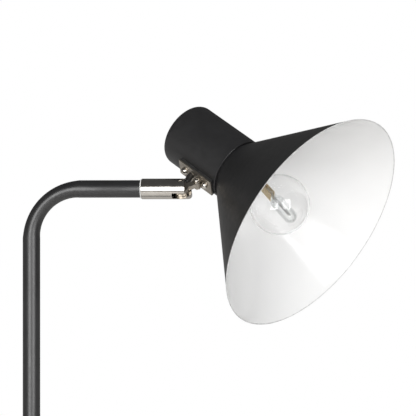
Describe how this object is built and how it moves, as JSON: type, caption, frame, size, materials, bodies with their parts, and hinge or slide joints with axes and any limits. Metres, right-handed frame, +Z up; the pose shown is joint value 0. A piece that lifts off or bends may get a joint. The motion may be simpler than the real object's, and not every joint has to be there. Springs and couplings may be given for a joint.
{
  "type": "adjustable arm floor lamp",
  "caption": "Floor lamp with a round weighted base, a pole bent into a short arm, a swivel barrel, a double knuckle and a cone shade.",
  "frame": {"origin": "centre of the flat underside of the base, under the pole's axis", "axes": "+Z up along the pole, the arm runs along +X from the pole, +Y away from the side that the shade's mouth turns to"},
  "size_m": [0.4739, 0.28, 1.4465],
  "materials": {
    "black_coat": "fine-textured satin powder coat",
    "nickel_plate": "polished nickel plate",
    "zinc_steel": "zinc-plated",
    "weight_iron": "raw casting",
    "pad_rubber": "matt",
    "black_plastic": "matt moulded",
    "white_nylon": "natural nylon",
    "cable_jacket": "satin cable jacket",
    "brass_metal": "satin",
    "bulb_cap_metal": "satin",
    "bulb_glass": "clear"
  },
  "bodies": {
    "stand": {"base_pad": "pad_rubber", "base_weight": "weight_iron", "base_cover": "black_coat", "cord_gland": "black_plastic", "base_washer": "zinc_steel", "base_nut": "zinc_steel", "base_nipple": "zinc_steel", "foot_insert": "zinc_steel", "lower_pole": "black_coat", "lower_joint_stud": "zinc_steel", "lower_joint_socket": "zinc_steel", "middle_pole": "black_coat", "upper_joint_stud": "zinc_steel", "upper_joint_socket": "zinc_steel", "upper_arm": "black_coat", "arm_insert": "nickel_plate", "inner_lead": "cable_jacket", "swivel_washer": "white_nylon"},
    "barrel": {"swivel_barrel": "nickel_plate", "swivel_stop_screw": "zinc_steel", "knuckle_pin": "nickel_plate"},
    "link": {"knuckle_link": "nickel_plate", "joint_cable": "cable_jacket"},
    "head": {"head_bracket": "nickel_plate", "head_screw": "nickel_plate", "head_nut": "nickel_plate", "bracket_gasket": "pad_rubber", "bracket_screws": "nickel_plate", "cable_collar": "nickel_plate", "housing": "black_coat", "inner_strap": "zinc_steel", "holder_lead": "cable_jacket", "holder_nipple": "zinc_steel", "holder_nut": "zinc_steel", "lampholder_cap": "black_plastic", "lampholder_body": "black_plastic", "lampholder_shell": "brass_metal", "lampholder_contact": "brass_metal", "shade_ring": "black_plastic", "shade": "black_coat", "bulb_cap": "bulb_cap_metal", "bulb_glass": "bulb_glass", "bulb_stem": "bulb_glass", "bulb_wires": "zinc_steel", "bulb_clip": "brass_metal", "bulb_capsule": "bulb_glass"}
  },
  "joints": [
    {"name": "arm_swivel", "type": "hinge", "parent": "stand", "child": "barrel", "pos_m": [0.1242, 0, 1.37], "axis": [1, 0, 0], "range_deg": [-119, 201]},
    {"name": "knuckle_tilt", "type": "hinge", "parent": "barrel", "child": "link", "pos_m": [0.139, 0, 1.37], "axis": [0, -0.7547, 0.6561], "range_deg": [-35, 44], "deforming": ["joint_cable"]},
    {"name": "head_tilt", "type": "hinge", "parent": "link", "child": "head", "pos_m": [0.1528, 0.00434, 1.37499], "axis": [0, -0.7547, 0.6561], "range_deg": [-52, 7]}
  ]
}
